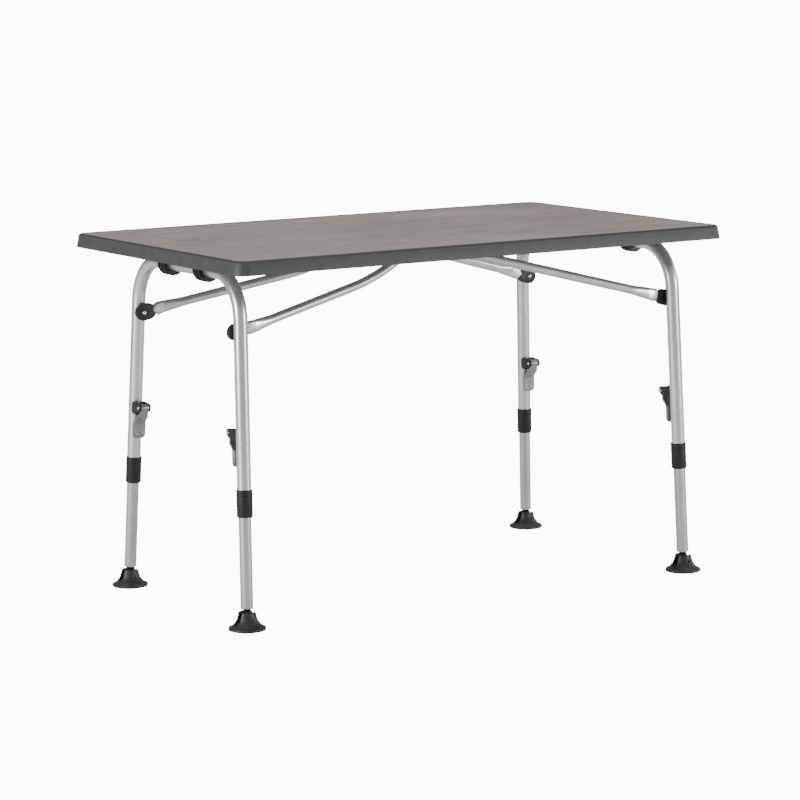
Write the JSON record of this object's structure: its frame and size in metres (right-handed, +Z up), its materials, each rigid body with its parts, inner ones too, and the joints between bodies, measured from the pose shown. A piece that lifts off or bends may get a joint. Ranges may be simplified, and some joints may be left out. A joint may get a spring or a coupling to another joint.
{
  "type": "folding camping table",
  "caption": "Folding camping table with a rectangular sandwich board top, bent tube leg frames held by swinging yokes, and clamped telescopic legs on swivel feet.",
  "frame": {"origin": "on the floor under the middle of the table top", "axes": "+X along the table towards the wide leg frame, +Y across it to the rear, +Z up"},
  "size_m": [1.15, 0.7, 0.73],
  "materials": {
    "laminate_board": "satin laminate, fine grain",
    "trim_plastic": "moulded, fine texture",
    "black_plastic": "moulded nylon",
    "foot_plastic": "moulded, slightly glossy",
    "silver_tube": "silver powder coat",
    "inner_aluminium": "satin anodised",
    "lever_metal": "silver grey coat",
    "bright_steel": "zinc plated",
    "zinc_steel": "zinc plated",
    "plunger_plastic": "natural nylon"
  },
  "bodies": {
    "table_top": {"tabletop_panel": "laminate_board", "edge_trim": "trim_plastic", "saddle_screws": "zinc_steel", "clip_screws": "zinc_steel", "hinge_saddle_left_front": "black_plastic", "hinge_saddle_left_rear": "black_plastic", "hinge_saddle_right_front": "black_plastic", "hinge_saddle_right_rear": "black_plastic", "yoke_clip_left_front": "black_plastic", "yoke_clip_left_rear": "black_plastic", "yoke_clip_right_front": "black_plastic", "yoke_clip_right_rear": "black_plastic"},
    "leg_frame_left": {"leg_bow_left": "silver_tube", "pivot_rivets_left": "bright_steel", "base_rivets_left": "bright_steel", "lever_pins_left": "bright_steel", "collar_left_front": "black_plastic", "collar_left_rear": "black_plastic", "clamp_base_left_front": "black_plastic", "clamp_base_left_rear": "black_plastic"},
    "yoke_left": {"yoke_left": "silver_tube", "yoke_knuckle_left_front": "black_plastic", "yoke_knuckle_left_rear": "black_plastic"},
    "lever_left_front": {"clamp_lever_left_front": "lever_metal"},
    "plunger_left_front": {"clamp_plunger_left_front": "plunger_plastic"},
    "foot_tube_left_front": {"inner_tube_left_front": "inner_aluminium", "foot_stem_left_front": "black_plastic"},
    "foot_left_front": {"foot_left_front": "foot_plastic", "foot_pin_left_front": "bright_steel"},
    "lever_left_rear": {"clamp_lever_left_rear": "lever_metal"},
    "plunger_left_rear": {"clamp_plunger_left_rear": "plunger_plastic"},
    "foot_tube_left_rear": {"inner_tube_left_rear": "inner_aluminium", "foot_stem_left_rear": "black_plastic"},
    "foot_left_rear": {"foot_left_rear": "foot_plastic", "foot_pin_left_rear": "bright_steel"},
    "leg_frame_right": {"leg_bow_right": "silver_tube", "pivot_rivets_right": "bright_steel", "base_rivets_right": "bright_steel", "lever_pins_right": "bright_steel", "collar_right_front": "black_plastic", "collar_right_rear": "black_plastic", "clamp_base_right_front": "black_plastic", "clamp_base_right_rear": "black_plastic"},
    "yoke_right": {"yoke_right": "silver_tube", "yoke_knuckle_right_front": "black_plastic", "yoke_knuckle_right_rear": "black_plastic"},
    "lever_right_front": {"clamp_lever_right_front": "lever_metal"},
    "plunger_right_front": {"clamp_plunger_right_front": "plunger_plastic"},
    "foot_tube_right_front": {"inner_tube_right_front": "inner_aluminium", "foot_stem_right_front": "black_plastic"},
    "foot_right_front": {"foot_right_front": "foot_plastic", "foot_pin_right_front": "bright_steel"},
    "lever_right_rear": {"clamp_lever_right_rear": "lever_metal"},
    "plunger_right_rear": {"clamp_plunger_right_rear": "plunger_plastic"},
    "foot_tube_right_rear": {"inner_tube_right_rear": "inner_aluminium", "foot_stem_right_rear": "black_plastic"},
    "foot_right_rear": {"foot_right_rear": "foot_plastic", "foot_pin_right_rear": "bright_steel"}
  },
  "joints": [
    {"name": "leg_fold_left", "type": "hinge", "parent": "table_top", "child": "leg_frame_left", "pos_m": [-0.493, 0, 0.686], "axis": [0, -1, 0], "range_deg": [0, 86]},
    {"name": "yoke_swing_left", "type": "hinge", "parent": "leg_frame_left", "child": "yoke_left", "pos_m": [-0.49629, 0, 0.57505], "axis": [0, 1, 0], "range_deg": [0, 100.5]},
    {"name": "lever_swing_left_front", "type": "hinge", "parent": "leg_frame_left", "child": "lever_left_front", "pos_m": [-0.5021, -0.18769, 0.37945], "axis": [-0.9996, 0, 0.0297], "range_deg": [-100, 0]},
    {"name": "plunger_slide_left_front", "type": "slide", "parent": "leg_frame_left", "child": "plunger_left_front", "axis": [-0.0018, 0.9981, -0.061], "range_m": [0, 0.0009]},
    {"name": "leg_slide_left_front", "type": "slide", "parent": "leg_frame_left", "child": "foot_tube_left_front", "axis": [0.0296, 0.061, 0.9977], "range_m": [0, 0.145]},
    {"name": "foot_swivel_left_front", "type": "hinge", "parent": "foot_tube_left_front", "child": "foot_left_front", "pos_m": [-0.51271, -0.24663, 0.022], "axis": [0, 1, 0], "range_deg": [-20, 20]},
    {"name": "lever_swing_left_rear", "type": "hinge", "parent": "leg_frame_left", "child": "lever_left_rear", "pos_m": [-0.5021, 0.18769, 0.37945], "axis": [0.9996, 0, -0.0297], "range_deg": [-100, 0]},
    {"name": "plunger_slide_left_rear", "type": "slide", "parent": "leg_frame_left", "child": "plunger_left_rear", "axis": [-0.0018, -0.9981, -0.061], "range_m": [0, 0.0009]},
    {"name": "leg_slide_left_rear", "type": "slide", "parent": "leg_frame_left", "child": "foot_tube_left_rear", "axis": [0.0296, -0.061, 0.9977], "range_m": [0, 0.145]},
    {"name": "foot_swivel_left_rear", "type": "hinge", "parent": "foot_tube_left_rear", "child": "foot_left_rear", "pos_m": [-0.51271, 0.24663, 0.022], "axis": [0, 1, 0], "range_deg": [-20, 20]},
    {"name": "leg_fold_right", "type": "hinge", "parent": "table_top", "child": "leg_frame_right", "pos_m": [0.493, 0, 0.686], "axis": [0, 1, 0], "range_deg": [0, 89]},
    {"name": "yoke_swing_right", "type": "hinge", "parent": "leg_frame_right", "child": "yoke_right", "pos_m": [0.49629, 0, 0.57505], "axis": [0, -1, 0], "range_deg": [0, 109.3]},
    {"name": "lever_swing_right_front", "type": "hinge", "parent": "leg_frame_right", "child": "lever_right_front", "pos_m": [0.50208, -0.2439, 0.38019], "axis": [-0.9996, 0, -0.0297], "range_deg": [-100, 0]},
    {"name": "plunger_slide_right_front", "type": "slide", "parent": "leg_frame_right", "child": "plunger_right_front", "axis": [0.0009, 0.9996, -0.0291], "range_m": [0, 0.0009]},
    {"name": "leg_slide_right_front", "type": "slide", "parent": "leg_frame_right", "child": "foot_tube_right_front", "axis": [-0.0297, 0.0291, 0.9991], "range_m": [0, 0.145]},
    {"name": "foot_swivel_right_front", "type": "hinge", "parent": "foot_tube_right_front", "child": "foot_right_front", "pos_m": [0.51271, -0.29137, 0.022], "axis": [0, 1, 0], "range_deg": [-20, 20]},
    {"name": "lever_swing_right_rear", "type": "hinge", "parent": "leg_frame_right", "child": "lever_right_rear", "pos_m": [0.50208, 0.2439, 0.38019], "axis": [0.9996, 0, 0.0297], "range_deg": [-100, 0]},
    {"name": "plunger_slide_right_rear", "type": "slide", "parent": "leg_frame_right", "child": "plunger_right_rear", "axis": [0.0009, -0.9996, -0.0291], "range_m": [0, 0.0009]},
    {"name": "leg_slide_right_rear", "type": "slide", "parent": "leg_frame_right", "child": "foot_tube_right_rear", "axis": [-0.0297, -0.0291, 0.9991], "range_m": [0, 0.145]},
    {"name": "foot_swivel_right_rear", "type": "hinge", "parent": "foot_tube_right_rear", "child": "foot_right_rear", "pos_m": [0.51271, 0.29137, 0.022], "axis": [0, 1, 0], "range_deg": [-20, 20]}
  ],
  "couplings": [
    {"joint": "yoke_swing_left", "follows": "leg_fold_left", "ratio": 1.1568},
    {"joint": "plunger_slide_left_front", "follows": "lever_swing_left_front", "m_per_rad": -0.00045837},
    {"joint": "plunger_slide_left_rear", "follows": "lever_swing_left_rear", "m_per_rad": -0.00045837},
    {"joint": "yoke_swing_right", "follows": "leg_fold_right", "ratio": 1.2171},
    {"joint": "plunger_slide_right_front", "follows": "lever_swing_right_front", "m_per_rad": -0.00045837},
    {"joint": "plunger_slide_right_rear", "follows": "lever_swing_right_rear", "m_per_rad": -0.00045837}
  ]
}
